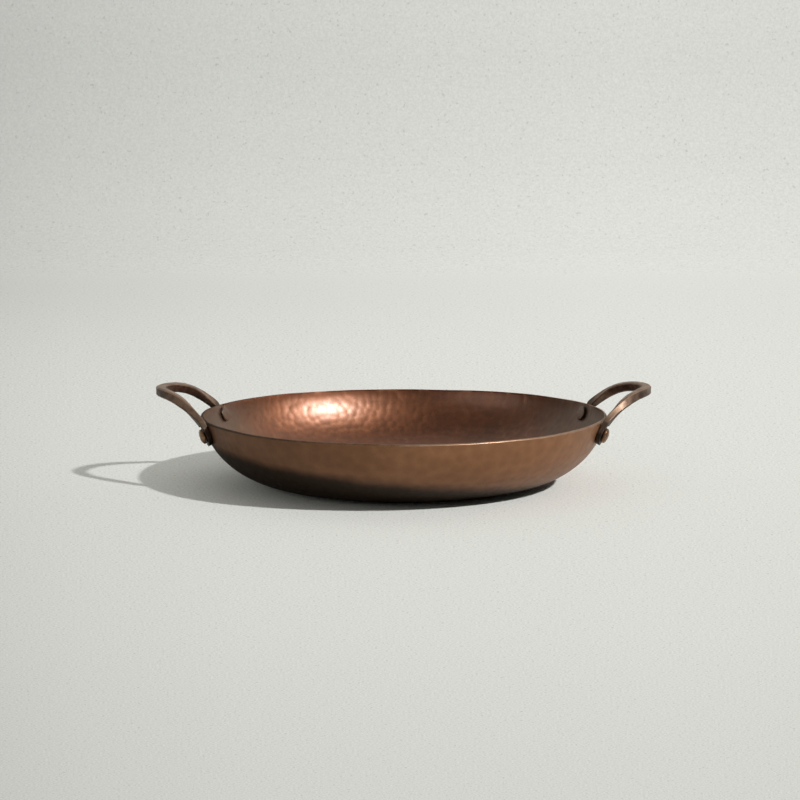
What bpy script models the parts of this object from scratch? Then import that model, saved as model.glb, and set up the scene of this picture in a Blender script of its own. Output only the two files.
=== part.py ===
"""Round hammered steel roasting pan with two riveted loop handles.

Metres, +Z up. The origin is on the ground under the middle of the pan, and the
two handles point along +X and -X.
"""

import functools
import math

import bmesh
import bpy
from mathutils import Matrix, Vector

# Pan body
RIM_RADIUS = 0.165
BASE_RADIUS = 0.092
PAN_HEIGHT = 0.0546
RIM_SWEEP = 0.0013
WALL_THICKNESS = 0.0022
RIM_LEAN = math.radians(9.7)
FLOOR_PULL_SHARE = 0.54
WALL_PULL_SHARE = 0.56
EDGE_BREAK_SHARE = 0.22
PAN_SEGMENTS = 96
WALL_STEPS = 14

# Forged loop handle
FOOT_SPREAD = 0.1095
PALM_WIDTH = 0.0162
PALM_THICKNESS = 0.0042
NECK_WIDTH = 0.0082
NECK_THICKNESS = 0.0053
BAR_WIDTH = 0.0085
BAR_THICKNESS = 0.0078
HANDLE_REACH = 0.0324
HANDLE_RISE = 0.0202
LEG_START_RISE = -0.0006
LEG_PULL = 0.0030
TIP_PULL = 0.0225
SHOULDER_SHARES = (0.47, 0.70, 0.77)
FULL_BAR_SHARE = 0.55
SHORT_OF_TIP_SHARE = 0.99
CORNER_SHARE = 0.27
PALM_END_ANGLES = tuple(math.radians(angle) for angle in (82, 66, 50, 34, 17, 0))
PALM_STEPS = 6
LOOP_STEPS = 20

# Rivets, each with a domed outer head and a hammered-down inner head
RIVET_DROP = 0.0092
SHANK_RADIUS = 0.0031
OUTER_HEAD_RADIUS = 0.0060
OUTER_HEAD_HEIGHT = 0.0033
OUTER_HEAD_SIDE_SHARE = 0.32
INNER_HEAD_RADIUS = 0.0061
INNER_HEAD_HEIGHT = 0.0021
INNER_HEAD_SIDE_SHARE = 0.35
INNER_HEAD_FLAT_SHARE = 0.55
RIVET_SEGMENTS = 24
DOME_STEPS = 5

# Fits
SEAT_GAP = 0.0003
HOLE_CLEARANCE = 0.0003
DRILL_OVERRUN = 0.0030
MERGE_DISTANCE = 0.000001

# Finishes: base colour, roughness and metallic
FINISHES = {
    "hammered_steel": ((0.230, 0.125, 0.075), 0.38, 1.0),
    "forged_steel": ((0.150, 0.085, 0.058), 0.45, 1.0),
    "rivet_steel": ((0.200, 0.115, 0.075), 0.40, 1.0),
}

UP = Vector((0, 0, 1))


def clear_scene():
    for item in list(bpy.data.objects):
        bpy.data.objects.remove(item, do_unlink=True)


def finish(name):
    """One Principled material for each kind of finish."""
    colour, roughness, metallic = FINISHES[name]
    material = bpy.data.materials.get(name) or bpy.data.materials.new(name)
    material.use_nodes = True
    shader = material.node_tree.nodes["Principled BSDF"]
    shader.inputs["Base Color"].default_value = (*colour, 1.0)
    shader.inputs["Roughness"].default_value = roughness
    shader.inputs["Metallic"].default_value = metallic
    material.diffuse_color = (*colour, 1.0)
    return material


def add_object(name, mesh, finish_name):
    item = bpy.data.objects.new(name, mesh)
    bpy.context.scene.collection.objects.link(item)
    if not mesh.materials:
        mesh.materials.append(finish(finish_name))
    return item


def mesh_from(bm, name):
    """Closes off a bmesh as a smooth-shaded mesh with its faces pointing out."""
    bmesh.ops.remove_doubles(bm, verts=bm.verts, dist=MERGE_DISTANCE)
    bmesh.ops.recalc_face_normals(bm, faces=bm.faces)
    mesh = bpy.data.meshes.new(name)
    bm.to_mesh(mesh)
    bm.free()
    mesh.shade_smooth()
    mesh.set_sharp_from_angle(angle=math.radians(35))
    return mesh


def turned_mesh(name, profile, segments):
    """Spins a (radius, height) profile that starts and ends on the Z axis."""
    bm = bmesh.new()
    verts = [bm.verts.new((radius, 0, height)) for radius, height in profile]
    edges = [bm.edges.new(pair) for pair in zip(verts, verts[1:])]
    bmesh.ops.spin(
        bm,
        geom=verts + edges,
        cent=(0, 0, 0),
        axis=UP,
        angle=math.tau,
        steps=segments,
    )
    return mesh_from(bm, name)


def smooth_step(share):
    share = min(max(share, 0), 1)
    return share * share * (3 - 2 * share)


def mix(start, end, share):
    return start + (end - start) * share


def bezier(points, share):
    """A point on the Bezier curve of any number of control points."""
    points = list(points)
    while len(points) > 1:
        points = [mix(a, b, share) for a, b in zip(points, points[1:])]
    return points[0]


# The outer wall is one curve from the flat base up to the rim. Everything that
# touches the wall is placed on it by its distance down from the rim.

def wall_controls():
    rim = Vector((RIM_RADIUS, PAN_HEIGHT))
    base = Vector((BASE_RADIUS, 0))
    rim_pull = WALL_PULL_SHARE * PAN_HEIGHT
    floor_pull = FLOOR_PULL_SHARE * (RIM_RADIUS - BASE_RADIUS)
    lean = Vector((math.sin(RIM_LEAN), math.cos(RIM_LEAN)))
    return [base, base + Vector((floor_pull, 0)), rim - rim_pull * lean, rim]


def wall_point(share):
    """Outer wall at a share of its curve, with the normal that points out."""
    controls = wall_controls()
    point = bezier(controls, share)
    slopes = [b - a for a, b in zip(controls, controls[1:])]
    slope = bezier(slopes, share).normalized()
    return point, Vector((slope.y, -slope.x))


@functools.lru_cache(maxsize=None)
def wall_share(down):
    """Share of the wall curve at a distance down from the rim, along the wall."""
    fine_steps = 40 * WALL_STEPS
    walked = 0
    last = wall_point(1)[0]
    for step in range(fine_steps - 1, -1, -1):
        share = step / fine_steps
        here = wall_point(share)[0]
        length = (here - last).length
        if walked + length >= down:
            return share + (1 - (down - walked) / length) / fine_steps
        walked += length
        last = here
    return 0


def sweep_up(point):
    """Lifts the wall towards the handles, so that the rim rises at both ends."""
    radius_squared = point.x ** 2 + point.y ** 2
    toward_handle = point.x ** 2 / radius_squared if radius_squared > 0 else 0
    lift = RIM_SWEEP * toward_handle * (point.z / PAN_HEIGHT) ** 2
    return Vector((point.x, point.y, point.z + lift))


def on_wall(down, out, turn):
    """Point at a distance down from the rim and out from the wall, turned about Z."""
    point, normal = wall_point(wall_share(down))
    section = point + out * normal
    across = section.x * math.sin(turn)
    return sweep_up(Vector((section.x * math.cos(turn), across, section.y)))


def turn_for(length, down):
    """Angle about Z that carries a point a length round the wall."""
    return length / on_wall(down, 0, 0).x


def wall_normal(down, turn):
    """Normal that points out, from places a shank's radius to each side."""
    side_turn = turn_for(SHANK_RADIUS, down)
    along = on_wall(down - SHANK_RADIUS, 0, turn) - on_wall(down + SHANK_RADIUS, 0, turn)
    around = on_wall(down, 0, turn + side_turn) - on_wall(down, 0, turn - side_turn)
    return around.cross(along).normalized()


def foot_turn():
    """Angle of a rivet about Z, from the handle's middle."""
    return math.asin(turn_for(FOOT_SPREAD / 2, RIVET_DROP))


def pan_profile():
    """Half section of the bowl, from under its middle round the rim to the floor."""
    edge_break = EDGE_BREAK_SHARE * WALL_THICKNESS
    outer = [wall_point(step / WALL_STEPS) for step in range(WALL_STEPS + 1)]
    inner = [point - WALL_THICKNESS * normal for point, normal in reversed(outer)]
    rim, normal = outer[-1]
    along = Vector((-normal.y, normal.x))
    rim_points = [
        rim - edge_break * along,
        rim - edge_break * normal,
        rim - (WALL_THICKNESS - edge_break) * normal,
        inner[0] - edge_break * along,
    ]
    points = [Vector((0, 0))]
    points += [point for point, _ in outer[:-1]]
    points += rim_points
    points += inner[1:]
    points += [Vector((0, WALL_THICKNESS))]
    return points


def pan_mesh():
    mesh = turned_mesh("pan", pan_profile(), PAN_SEGMENTS)
    for vert in mesh.vertices:
        vert.co = sweep_up(vert.co)
    return mesh


def rivet_profile():
    """Half section of a set rivet about its own axis; zero is the wall's outer face."""
    head_seat = SEAT_GAP + PALM_THICKNESS + SEAT_GAP
    side = OUTER_HEAD_SIDE_SHARE * OUTER_HEAD_HEIGHT
    dome = OUTER_HEAD_HEIGHT - side
    points = [Vector((SHANK_RADIUS, head_seat)), Vector((OUTER_HEAD_RADIUS, head_seat))]
    for step in range(DOME_STEPS + 1):
        angle = math.radians(90) * step / DOME_STEPS
        height = head_seat + side + dome * math.sin(angle)
        points.append(Vector((OUTER_HEAD_RADIUS * math.cos(angle), height)))

    inner_seat = -(WALL_THICKNESS + SEAT_GAP)
    rise = inner_wall_rise(INNER_HEAD_RADIUS)
    inner_side = INNER_HEAD_SIDE_SHARE * INNER_HEAD_HEIGHT
    flat = INNER_HEAD_FLAT_SHARE * INNER_HEAD_RADIUS
    crown = inner_seat - rise - INNER_HEAD_HEIGHT
    corner = Vector((INNER_HEAD_RADIUS, inner_seat - rise - inner_side))
    shoulder = Vector((INNER_HEAD_RADIUS, crown))
    inner_points = [Vector((0, crown))]
    inner_points += [
        bezier([Vector((flat, crown)), shoulder, corner], step / DOME_STEPS)
        for step in range(DOME_STEPS + 1)
    ]
    inner_points.append(Vector((INNER_HEAD_RADIUS, inner_seat - rise)))
    inner_points.append(Vector((SHANK_RADIUS, inner_seat)))
    return inner_points + points


def inner_wall_rise(reach):
    """How far the inside of the wall curls up round a flat disc at a rivet."""
    middle = on_wall(RIVET_DROP, -WALL_THICKNESS, foot_turn())
    inward = -wall_normal(RIVET_DROP, foot_turn())
    rises = []
    for step in range(RIVET_SEGMENTS):
        angle = math.tau * step / RIVET_SEGMENTS
        down = RIVET_DROP + reach * math.cos(angle)
        turn = foot_turn() + turn_for(reach * math.sin(angle), RIVET_DROP)
        rises.append((on_wall(down, -WALL_THICKNESS, turn) - middle).dot(inward))
    return max(rises)


# A handle is one swept bar. Each foot is a palm that lies on the wall round its
# rivet. Above the rivet the wall curls in and the foot runs straight on, and just
# below the rim the leg starts to bend out and rise to the tip.

def foot_up():
    """Direction straight up a foot, along the wall at its rivet."""
    around = UP.cross(wall_normal(RIVET_DROP, foot_turn()))
    return wall_normal(RIVET_DROP, foot_turn()).cross(around).normalized()


def on_foot(above, out, across):
    """Point at a distance above the rivet and out from the wall, along a foot."""
    if above <= 0:
        down = RIVET_DROP - above
        return on_wall(down, out, foot_turn() + turn_for(across, down))
    return on_foot(0, out, across) + above * foot_up()


def leg_controls():
    """Control points from the top of a foot to the tip of the loop."""
    foot = on_foot(RIVET_DROP + LEG_START_RISE, SEAT_GAP + NECK_THICKNESS / 2, 0)
    tip = Vector((RIM_RADIUS + HANDLE_REACH, 0, PAN_HEIGHT + HANDLE_RISE))
    along, across, up = SHOULDER_SHARES
    shoulder = Vector((
        mix(foot.x, tip.x, along),
        foot.y * across,
        mix(foot.z, tip.z, up),
    ))
    over_shoulder = Vector((shoulder.x, shoulder.y, tip.z))
    before_tip = tip + Vector((0, TIP_PULL, 0))
    return [foot, foot + LEG_PULL * foot_up(), shoulder, over_shoulder, before_tip, tip]


def section_outline(width, thickness):
    """Forged bar section: a rectangle with round corners and a point mid-face."""
    corner = CORNER_SHARE * min(width, thickness)
    half_width = width / 2 - corner
    half_thickness = thickness / 2 - corner
    outline = []
    for quarter, (side, face) in enumerate(((1, 1), (-1, 1), (-1, -1), (1, -1))):
        for step in range(3):
            angle = math.radians(90) * (quarter + step / 2)
            outline.append(Vector((
                side * half_width + corner * math.cos(angle),
                face * half_thickness + corner * math.sin(angle),
            )))
        if quarter in (0, 2):
            outline.append(Vector((0, face * thickness / 2)))
    return outline


def foot_ring(above, width, thickness):
    """A section of a foot at a distance above its rivet."""
    middle = SEAT_GAP + thickness / 2
    return [
        on_foot(above, middle + point.y, point.x)
        for point in section_outline(width, thickness)
    ]


def leg_ring(share):
    """A section of a leg, with its faces turning from the wall to the loop."""
    controls = leg_controls()
    middle = bezier(controls, share)
    slopes = [b - a for a, b in zip(controls, controls[1:])]
    forward = bezier(slopes, share).normalized()
    side_view = bezier(slopes, min(share, SHORT_OF_TIP_SHARE))
    loop_out = Vector((side_view.z, 0, -side_view.x)).normalized()
    wall_out = wall_normal(RIVET_DROP, foot_turn())
    turned = smooth_step(share / FULL_BAR_SHARE)
    across = forward.cross(mix(wall_out, loop_out, turned)).normalized()
    out = across.cross(forward)
    width = mix(NECK_WIDTH, BAR_WIDTH, turned)
    thickness = mix(NECK_THICKNESS, BAR_THICKNESS, turned)
    return [
        middle + across * point.x + out * point.y
        for point in section_outline(width, thickness)
    ]


def half_handle_rings():
    """Sections from the end of one foot to the tip of the loop."""
    rings = []
    for angle in PALM_END_ANGLES:
        above = -PALM_WIDTH / 2 * math.sin(angle)
        rings.append(foot_ring(above, PALM_WIDTH * math.cos(angle), PALM_THICKNESS))
    foot_length = RIVET_DROP + LEG_START_RISE
    head_clear = OUTER_HEAD_RADIUS + SEAT_GAP
    for step in range(1, PALM_STEPS):
        above = foot_length * step / PALM_STEPS
        narrowed = smooth_step(above / foot_length)
        thickened = smooth_step((above - head_clear) / (foot_length - head_clear))
        width = mix(PALM_WIDTH, NECK_WIDTH, narrowed)
        thickness = mix(PALM_THICKNESS, NECK_THICKNESS, thickened)
        rings.append(foot_ring(above, width, thickness))
    rings += [leg_ring(step / LOOP_STEPS) for step in range(LOOP_STEPS + 1)]
    return rings


def handle_mesh():
    """The whole loop, from one palm over the tip to the other."""
    half = half_handle_rings()
    mirrored = [
        [Vector((point.x, -point.y, point.z)) for point in ring]
        for ring in reversed(half[:-1])
    ]
    bm = bmesh.new()
    rings = [[bm.verts.new(point) for point in ring] for ring in half + mirrored]
    count = len(rings[0])
    for ring, following in zip(rings, rings[1:]):
        for index in range(count):
            beside = (index + 1) % count
            bm.faces.new((ring[index], ring[beside], following[beside], following[index]))
    bm.faces.new(rings[0])
    bm.faces.new(rings[-1])
    return mesh_from(bm, "loop_handle")


def rivet_place(front):
    """Place of a rivet on the +X handle: on the wall, with its axis square to it."""
    turn = foot_turn() * (-1 if front else 1)
    turn_matrix = wall_normal(RIVET_DROP, turn).to_track_quat("Z", "Y").to_matrix()
    return Matrix.Translation(on_wall(RIVET_DROP, 0, turn)) @ turn_matrix.to_4x4()


def drill_mesh():
    """A drill through the wall and the palm, about the rivet's axis."""
    radius = SHANK_RADIUS + HOLE_CLEARANCE
    top = SEAT_GAP + PALM_THICKNESS + DRILL_OVERRUN
    bottom = -(WALL_THICKNESS + DRILL_OVERRUN)
    profile = [(0, bottom), (radius, bottom), (radius, top), (0, top)]
    return turned_mesh("rivet_drill", profile, RIVET_SEGMENTS)


def drill_hole(item, drill):
    cut = item.modifiers.new("rivet hole", "BOOLEAN")
    cut.operation = "DIFFERENCE"
    cut.solver = "EXACT"
    cut.object = drill


def build():
    clear_scene()
    pan = add_object("pan", pan_mesh(), "hammered_steel")
    rivet_mesh = turned_mesh("rivet", rivet_profile(), RIVET_SEGMENTS)
    hole_mesh = drill_mesh()
    for side, side_turn in (("right", 0), ("left", math.pi)):
        handle = add_object(f"handle_{side}", handle_mesh(), "forged_steel")
        handle.rotation_euler.z = side_turn
        for end in ("front", "back"):
            toward_front = (end == "front") == (side == "right")
            rivet = add_object(f"rivet_{side}_{end}", rivet_mesh, "rivet_steel")
            drill = bpy.data.objects.new(f"drill_{side}_{end}", hole_mesh)
            bpy.context.scene.collection.objects.link(drill)
            drill.hide_render = True
            drill.display_type = "WIRE"
            for item in (rivet, drill):
                item.parent = handle
                item.matrix_local = rivet_place(toward_front)
            drill_hole(pan, drill)
            drill_hole(handle, drill)
    bpy.context.view_layer.update()


build()
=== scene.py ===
"""Looks of a round hammered steel roasting pan with two riveted loop handles.

Metres, +Z up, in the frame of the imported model: the origin is on the ground under
the middle of the pan, the handles point along +X and -X, and -Y is the front.
"""

import math

import bmesh
import bpy
import numpy as np
from mathutils import Matrix, Vector
from mathutils.kdtree import KDTree


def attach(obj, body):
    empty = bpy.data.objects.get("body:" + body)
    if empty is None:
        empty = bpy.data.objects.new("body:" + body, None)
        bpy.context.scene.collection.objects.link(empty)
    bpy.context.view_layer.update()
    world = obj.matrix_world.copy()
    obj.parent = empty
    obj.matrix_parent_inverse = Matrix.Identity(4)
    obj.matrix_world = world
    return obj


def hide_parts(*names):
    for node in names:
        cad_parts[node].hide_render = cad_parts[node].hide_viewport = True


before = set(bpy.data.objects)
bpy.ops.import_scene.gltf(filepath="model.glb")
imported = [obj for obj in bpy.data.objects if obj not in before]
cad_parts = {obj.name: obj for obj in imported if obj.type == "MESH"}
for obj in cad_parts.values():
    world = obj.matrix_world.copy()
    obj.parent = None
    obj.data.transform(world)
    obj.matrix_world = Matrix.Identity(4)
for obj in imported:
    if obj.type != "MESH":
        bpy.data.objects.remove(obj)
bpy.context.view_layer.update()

bl_info = {
    "name": "Hammered Roasting Pan",
    "version": (1, 0, 0),
    "blender": (4, 5, 0),
    "location": "3D Viewport > Sidebar > Roasting Pan",
    "description": "Builds a hammered steel roasting pan, its riveted handles and a pale stage",
    "category": "Add Mesh",
}

# Bowl, on the same wall curve as the CAD
RIM_RADIUS = 0.165
BASE_RADIUS = 0.092
PAN_HEIGHT = 0.0546
RIM_SWEEP = 0.0013
WALL_THICKNESS = 0.0022
RIM_LEAN = math.radians(9.7)
FLOOR_PULL_SHARE = 0.54
WALL_PULL_SHARE = 0.56
OUTER_EDGE_ROUND = 0.00105
INNER_EDGE_ROUND = 0.00035

# Forged loop handle
FOOT_SPREAD = 0.1095
PALM_WIDTH = 0.0162
PALM_THICKNESS = 0.0042
NECK_WIDTH = 0.0082
NECK_THICKNESS = 0.0053
BAR_WIDTH = 0.0085
BAR_THICKNESS = 0.0078
HANDLE_REACH = 0.0324
HANDLE_RISE = 0.0202
LEG_START_RISE = -0.0006
LEG_PULL = 0.0030
TIP_PULL = 0.0225
SHOULDER_SHARES = (0.47, 0.70, 0.77)
FULL_BAR_SHARE = 0.55
SHORT_OF_TIP_SHARE = 0.99

# Rivets
RIVET_DROP = 0.0092
SHANK_RADIUS = 0.0031
OUTER_HEAD_RADIUS = 0.0060
OUTER_HEAD_HEIGHT = 0.0033
INNER_HEAD_RADIUS = 0.0061
INNER_HEAD_HEIGHT = 0.0021
INNER_HEAD_ROUND = 0.0008
INNER_CROWN_DROP = 0.0004
SEAT_GAP = 0.0003
INNER_CROWN_FALL = 0.00022
HEAD_SEAT = SEAT_GAP + PALM_THICKNESS + SEAT_GAP
OUTER_HEAD_SIDE = 0.28 * OUTER_HEAD_HEIGHT
OUTER_HEAD_DOME = OUTER_HEAD_HEIGHT - OUTER_HEAD_SIDE

# Painted shade on the handles' feet where they meet the wall: full below this height, gone over this fade
FOOT_SHADE_TOP = 0.046
FOOT_SHADE_FADE = 0.016

# Fineness of the meshes
BOWL_SEGMENTS = 820
BOWL_STEP = 0.00135
HANDLE_STEP = 0.0008
FACE_STEPS = (7, 3, 7, 3, 7, 3, 7, 3)
EDGE_WEAR = 0.0002
RIVET_SEGMENTS = 56

# Photographer's camera
CAMERA_PLACE = (-0.00935, -1.5118, 0.2641)
CAMERA_PITCH = math.radians(7.46)
CAMERA_YAW = math.radians(0.24)
CAMERA_ROLL = math.radians(-0.09)
CAMERA_LENS = 84.15
SENSOR_WIDTH = 36.0

# Key lamp, to the right in front of the pan
KEY_DIRECTION = (0.643, -0.435, 0.631)
KEY_ANGLE = math.radians(2.4)

# Floor: where its side tones spread from, its share of light thrown back at the pan,
# how bright it is where the key reaches it, and where its shadows start to be lifted
FLOOR_FRONT = 1.6
FLOOR_BOUNCE = 0.82
FLOOR_LIT = (0.80, 0.785, 0.74)
FLOOR_LIFT_FROM = (0.025, 0.0, 0.0)
FLOOR_LIFT_REACH = (0.11, 0.255)

# Soft box: bearing from the front towards the right, and height, in degrees, each as
# start, full, fading and end
SOFT_BOX_SIDES = (-82, -72, -34, -26)
SOFT_BOX_ENDS = (7, 11, 27, 34)


def unit(vectors):
    return vectors / np.linalg.norm(vectors, axis=-1, keepdims=True)


def smooth_step(share):
    share = np.clip(share, 0, 1)
    return share * share * (3 - 2 * share)


def mix(start, end, share):
    return start + (end - start) * share


def bezier(controls, shares):
    """Points of a Bezier curve of any degree, one row for each share."""
    shares = np.atleast_1d(shares)[:, None]
    points = [np.asarray(control, float)[None, :] for control in controls]
    while len(points) > 1:
        points = [a + (b - a) * shares for a, b in zip(points, points[1:])]
    return points[0]


# Wall curve: everything that touches the wall is placed on it by its distance down
# from the rim.

def wall_table():
    """The wall's points and outward normals, with their distance down from the rim."""
    rim = np.array((RIM_RADIUS, PAN_HEIGHT))
    base = np.array((BASE_RADIUS, 0.0))
    lean = np.array((math.sin(RIM_LEAN), math.cos(RIM_LEAN)))
    floor_pull = np.array((FLOOR_PULL_SHARE * (RIM_RADIUS - BASE_RADIUS), 0.0))
    controls = [base, base + floor_pull, rim - WALL_PULL_SHARE * PAN_HEIGHT * lean, rim]
    shares = np.linspace(1, 0, 1200)
    points = bezier(controls, shares)
    slopes = unit(bezier([b - a for a, b in zip(controls, controls[1:])], shares))
    steps = np.linalg.norm(np.diff(points, axis=0), axis=1)
    down = np.concatenate(([0], np.cumsum(steps)))
    return down, points, np.stack((slopes[:, 1], -slopes[:, 0]), axis=1)


WALL_DOWN, WALL_POINTS, WALL_NORMALS = wall_table()


def wall_section(down):
    """Radius and height of the outer wall, and its normal, at distances down from the rim."""
    point = [np.interp(down, WALL_DOWN, WALL_POINTS[:, axis]) for axis in (0, 1)]
    normal = [np.interp(down, WALL_DOWN, WALL_NORMALS[:, axis]) for axis in (0, 1)]
    return np.stack(point, axis=-1), unit(np.stack(normal, axis=-1))


def sweep_up(points):
    """Lifts the wall towards the handles, so that the rim rises at both ends."""
    radius_squared = np.maximum(points[..., 0] ** 2 + points[..., 1] ** 2, 1e-12)
    toward_handle = points[..., 0] ** 2 / radius_squared
    lift = RIM_SWEEP * toward_handle * (points[..., 2] / PAN_HEIGHT) ** 2
    return points + lift[..., None] * np.array((0, 0, 1))


def on_wall(down, out, turn):
    """Point down from the rim and out from the wall, turned about Z."""
    point, normal = wall_section(down)
    section = point + out * normal
    x = section[..., 0] * np.cos(turn)
    y = section[..., 0] * np.sin(turn)
    return sweep_up(np.stack((x, y, section[..., 1]), axis=-1))


def turn_for(length, down):
    """Angle about Z that carries a point a length round the wall."""
    return length / wall_section(down)[0][..., 0]


def wall_normal(down, turn):
    """Normal that points out, from places a shank's radius to each side."""
    side = turn_for(SHANK_RADIUS, down)
    along = on_wall(down - SHANK_RADIUS, 0, turn) - on_wall(down + SHANK_RADIUS, 0, turn)
    around = on_wall(down, 0, turn + side) - on_wall(down, 0, turn - side)
    return unit(np.cross(around, along))


FOOT_TURN = math.asin(turn_for(FOOT_SPREAD / 2, RIVET_DROP))


# Hammer marks: each blow leaves a shallow round dish, and neighbouring dishes meet
# in soft ridges.

def hammer_marks(points, blows, reaches, softness):
    """How deep each point lies in the marks, from 0 between them to about 1."""
    reaches = np.asarray(reaches)
    tree = KDTree(len(blows))
    for index, blow in enumerate(blows):
        tree.insert(blow, index)
    tree.balance()
    near = 4
    found = [tree.find_n(point, near) for point in points]
    far = np.array([[hit[2] for hit in hits] for hits in found])
    index = np.array([[hit[1] for hit in hits] for hits in found])
    dishes = 1 - (far / reaches[index]) ** 2
    dishes = np.concatenate((dishes, np.zeros((len(dishes), 1))), axis=1)
    return softness * np.log(np.exp(dishes / softness).sum(axis=1))


def unrolled(radii, turns, along, stretch):
    """Places on the bowl in a space where marks that are stretched up the wall are round."""
    parts = (radii * np.cos(turns), radii * np.sin(turns), along / stretch)
    return np.stack(np.broadcast_arrays(*parts), axis=-1)


def blow_rings(section, spacing, stretch, scatter, seed):
    """Blows laid in rings round the bowl, as a raiser works, each a little off."""
    draw = np.random.default_rng(seed)
    along = walked(section)
    blows = []
    middle = spacing / 2
    while middle < along[-1]:
        radius = np.interp(middle, along, section[:, 0])
        rise = (1 - abs(np.interp(middle + spacing, along, section[:, 0]) - radius) / spacing)
        step = spacing * mix(0.86, 0.92 * stretch, min(max(rise, 0), 1))
        count = max(3, round(math.tau * radius / spacing))
        start = draw.uniform(0, math.tau)
        places = middle + step * scatter * draw.uniform(-1, 1, count)
        jitter = spacing * scatter * draw.uniform(-1, 1, count) / max(radius, spacing)
        turns = start + even_turns(count) + jitter
        radii = np.interp(places, along, section[:, 0])
        blows.append(unrolled(radii, turns, places, stretch))
        middle += step
    blows = np.concatenate(blows)
    reaches = spacing * draw.uniform(0.66, 0.98, len(blows))
    return blows, reaches


def walked(points):
    """Distance walked along a row of points."""
    steps = np.linalg.norm(np.diff(points, axis=0), axis=1)
    return np.concatenate(([0], np.cumsum(steps)))


def ripple(turns, waves):
    """Slow unevenness round the bowl, from a few waves of size, count and phase."""
    return sum(size * np.sin(count * turns + phase) for size, count, phase in waves)


# Meshes

def even_turns(count):
    return math.tau * np.arange(count) / count


def spun(radii, heights, turns):
    """Rings of points, from a half section turned about Z."""
    parts = (radii, np.cos(turns)), (radii, np.sin(turns)), (heights, np.ones_like(turns))
    return np.stack([np.outer(lengths, shares) for lengths, shares in parts], axis=-1)


def grid_mesh(name, rings, closed_ends=()):
    """A mesh of rings of points, each closed on itself, with fans over its ends."""
    count, sides = rings.shape[:2]
    corners = np.arange(count * sides).reshape(count, sides)
    beside = np.roll(corners, -1, axis=1)
    quads = np.stack((corners[:-1], beside[:-1], beside[1:], corners[1:]), axis=-1)
    faces = [tuple(quad) for quad in quads.reshape(-1, 4).tolist()]
    points = rings.reshape(-1, 3).tolist()
    for end, middle in closed_ends:
        ring = corners[end]
        points.append(list(middle))
        tip = len(points) - 1
        pairs = zip(ring.tolist(), np.roll(ring, -1).tolist())
        faces += [(a, b, tip) if end else (b, a, tip) for a, b in pairs]
    mesh = bpy.data.meshes.new(name)
    mesh.from_pydata(points, [], faces)
    bm = bmesh.new()
    bm.from_mesh(mesh)
    bmesh.ops.recalc_face_normals(bm, faces=bm.faces)
    bm.to_mesh(mesh)
    bm.free()
    mesh.shade_smooth()
    return mesh


def mesh_points(mesh):
    points = np.empty(len(mesh.vertices) * 3)
    mesh.vertices.foreach_get("co", points)
    return points.reshape(-1, 3)


def mesh_normals(mesh):
    normals = np.empty(len(mesh.vertices) * 3)
    mesh.vertices.foreach_get("normal", normals)
    return normals.reshape(-1, 3)


def set_points(mesh, points):
    mesh.vertices.foreach_set("co", points.ravel())
    mesh.update()


def set_value(mesh, name, values):
    """Stores one number for each point, for the materials to read."""
    attribute = mesh.attributes.new(name, "FLOAT", "POINT")
    attribute.data.foreach_set("value", np.ascontiguousarray(values, dtype=np.float32))


def add_piece(name, mesh, replaced, materials):
    piece = bpy.data.objects.new(name, mesh)
    bpy.context.scene.collection.objects.link(piece)
    for material in materials:
        mesh.materials.append(material)
    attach(piece, "root")
    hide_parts(*replaced)
    return piece


# Bowl

def bowl_section():
    """Half section from under the middle, up the outside, over the rim and back inside.

    Each row holds radius, height, the normal's two parts and the side: -1 outside,
    0 on the rim and 1 inside."""
    length = WALL_DOWN[-1]
    wall_steps = round(length / BOWL_STEP)
    flat_steps = round(BASE_RADIUS / BOWL_STEP)
    downs = np.linspace(length, OUTER_EDGE_ROUND, wall_steps)
    outer, outer_normal = wall_section(downs)
    flat = np.linspace(BOWL_STEP, BASE_RADIUS - BOWL_STEP, flat_steps)
    flat_points = np.stack((flat, np.zeros_like(flat)), axis=1)
    down_normal = np.tile((0.0, -1.0), (len(flat), 1))
    rim, normal = wall_section(np.array([0.0]))
    rim, normal = rim[0], normal[0]
    along = np.array((-normal[1], normal[0]))
    rim_rows = []
    corners = (
        (OUTER_EDGE_ROUND, -OUTER_EDGE_ROUND, 0),
        (INNER_EDGE_ROUND, INNER_EDGE_ROUND - WALL_THICKNESS, 90),
    )
    for edge_round, middle, start in corners:
        for angle in np.radians(np.arange(start + 9, start + 90, 18)):
            direction = normal * math.cos(angle) + along * math.sin(angle)
            place = rim + middle * normal - edge_round * along + edge_round * direction
            rim_rows.append((*place, *direction, 0))
    inner_downs = np.linspace(length, INNER_EDGE_ROUND, wall_steps)
    inner_base, outer_normal_in = wall_section(inner_downs)
    inner = inner_base - WALL_THICKNESS * outer_normal_in
    inner_flat = flat_points + np.array((0, WALL_THICKNESS))
    rows = [
        np.column_stack((flat_points, down_normal, np.full(len(flat), -1))),
        np.column_stack((outer, outer_normal, np.full(len(outer), -1))),
        np.array(rim_rows),
        np.column_stack((inner, -outer_normal_in, np.full(len(inner), 1)))[::-1],
        np.column_stack((inner_flat, -down_normal, np.full(len(flat), 1)))[::-1],
    ]
    return np.concatenate(rows)


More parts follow.
